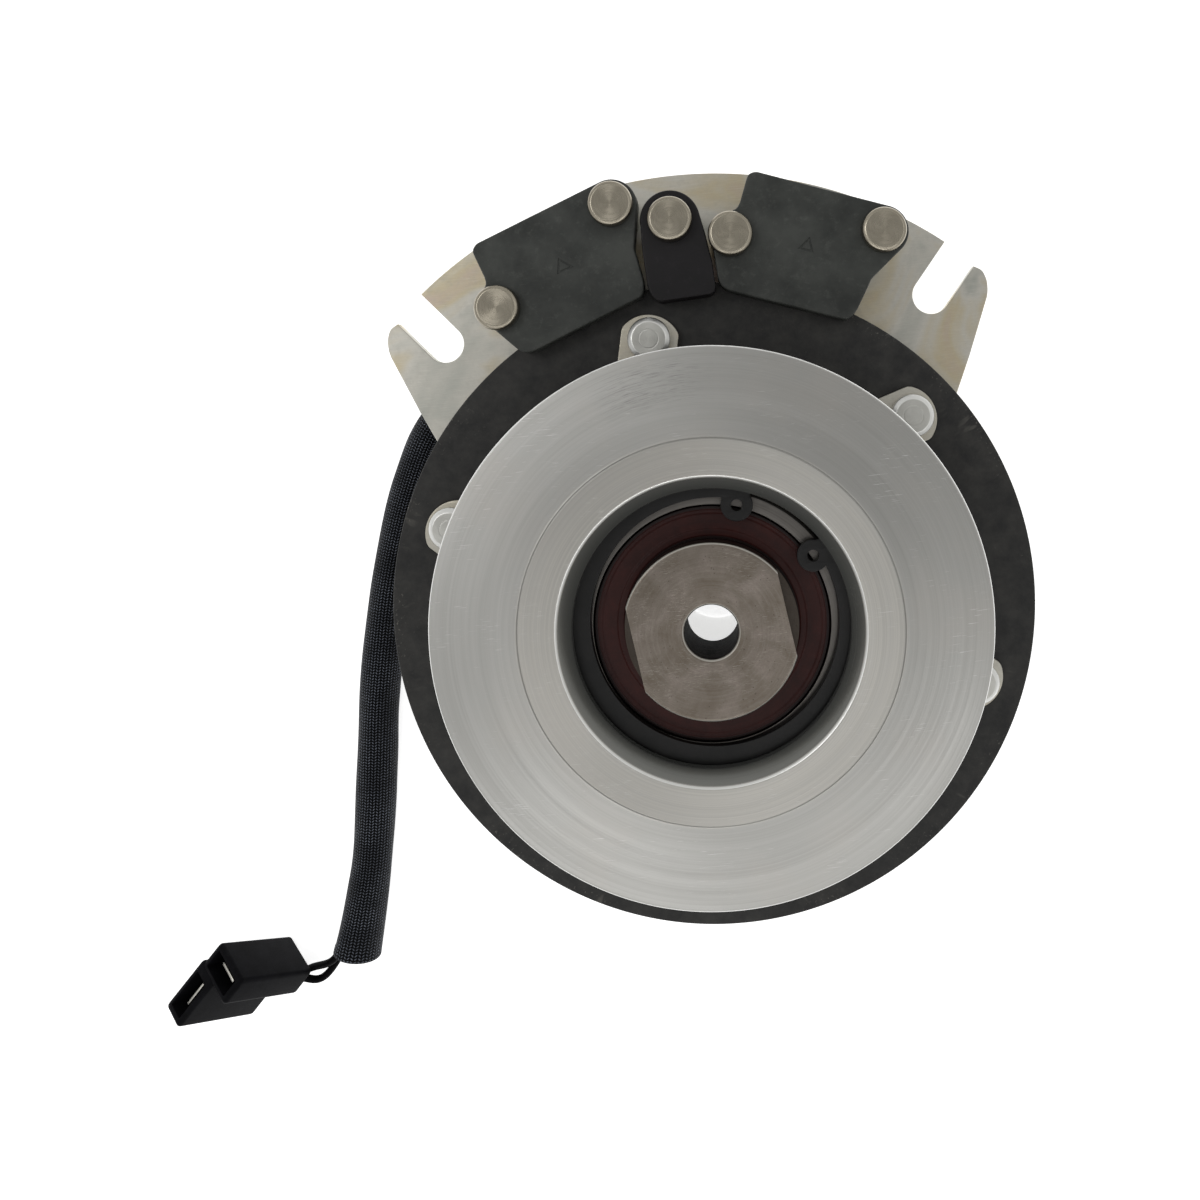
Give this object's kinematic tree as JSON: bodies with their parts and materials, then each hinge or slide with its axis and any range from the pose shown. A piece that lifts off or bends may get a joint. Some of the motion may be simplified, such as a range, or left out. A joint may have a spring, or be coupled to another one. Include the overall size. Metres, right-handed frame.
{
  "type": "pto clutch",
  "caption": "Electric power take-off clutch: belt pulley on a bearing hub, spring-hung armature, slotted mounting plate with brake shoes, sleeved lead to a two-pole plug.",
  "frame": {"origin": "under the middle of the body's bounding box (lead and plug left out), in the plane of the rear face of the coil housing", "axes": "+Z along the shaft axis, from the coil housing towards the pulley; +Y from the shaft axis towards the brake shoes, midway between the two ears; +X to the right seen from the pulley side. The shaft axis stands at x = 0, y = -0.0155."},
  "size_m": [0.2348, 0.2192, 0.064],
  "materials": {
    "turned_steel": "fine turned, bright",
    "worn_steel": "worn, dull",
    "black_plate": "blackened, light scuffs",
    "shoe_black": "black, satin",
    "centre_black": "black, satin",
    "zinc": "yellow zinc plated",
    "nickel": "turned, warm",
    "bright_rivet": "bright zinc",
    "spring_zinc": "zinc plated sheet",
    "bearing_steel": "ground",
    "cage_steel": "polished",
    "seal_brown": "dark red-brown, satin",
    "circlip_black": "blackened spring steel",
    "copper": "enamelled copper wire",
    "bobbin": "matte",
    "grommet": "matte",
    "sleeve": "braided",
    "wire_black": "satin",
    "connector_black": "satin",
    "blade_tin": "tinned",
    "shell_steel": "plain",
    "rotor_steel": "plain"
  },
  "bodies": {
    "field": {"field_shell": "shell_steel", "coil_bobbin": "bobbin", "coil_winding": "copper", "mounting_plate": "zinc", "brake_shoe_left": "shoe_black", "brake_shoe_right": "shoe_black", "brake_shoe_centre": "centre_black", "brake_post_1": "nickel", "brake_post_2": "nickel", "brake_post_3": "nickel", "brake_post_4": "nickel", "brake_post_5": "nickel", "brake_spacer_1": "zinc", "brake_spacer_2": "zinc", "brake_spacer_3": "zinc", "brake_spacer_4": "zinc", "brake_spacer_5": "zinc", "lead_grommet": "grommet", "rear_bearing_outer_ring": "bearing_steel", "rear_bearing_seal_front": "seal_brown", "rear_bearing_seal_rear": "seal_brown", "lead_sleeve": "sleeve", "lead_wire_1": "wire_black", "lead_wire_2": "wire_black", "connector_housing": "connector_black", "blade_terminal_1": "blade_tin", "blade_terminal_2": "blade_tin"},
    "rotor": {"rotor_disc": "rotor_steel", "rotor_hub": "worn_steel", "hub_nose": "worn_steel", "rear_bearing_inner_ring": "bearing_steel", "rear_bearing_balls_and_cage": "cage_steel", "front_bearing_inner_ring": "bearing_steel", "front_bearing_balls_and_cage": "cage_steel", "rear_circlip": "circlip_black"},
    "pulley": {"pulley": "turned_steel", "front_bearing_outer_ring": "bearing_steel", "front_bearing_seal_front": "seal_brown", "front_bearing_seal_rear": "seal_brown", "front_circlip": "circlip_black", "star_spring": "spring_zinc", "spring_rivet_1": "bright_rivet", "spring_rivet_2": "bright_rivet", "spring_rivet_3": "bright_rivet"},
    "armature": {"armature_plate": "black_plate", "armature_rivet_1": "bright_rivet", "armature_rivet_2": "bright_rivet", "armature_rivet_3": "bright_rivet", "armature_rivet_4": "bright_rivet", "armature_rivet_5": "bright_rivet", "armature_rivet_6": "bright_rivet"}
  },
  "joints": [
    {"name": "rotor_spin", "type": "hinge", "parent": "field", "child": "rotor", "pos_m": [0, -0.0155, 0.02], "axis": [0, 0, 1], "continuous": true},
    {"name": "pulley_spin", "type": "hinge", "parent": "rotor", "child": "pulley", "pos_m": [0, -0.0155, 0.0475], "axis": [0, 0, 1], "continuous": true},
    {"name": "armature_travel", "type": "slide", "parent": "pulley", "child": "armature", "axis": [0, 0, -1], "range_m": [0, 0.00045], "stiffness_N_per_m": 20000, "springref_m": -0.001, "deforming": ["star_spring"]}
  ]
}
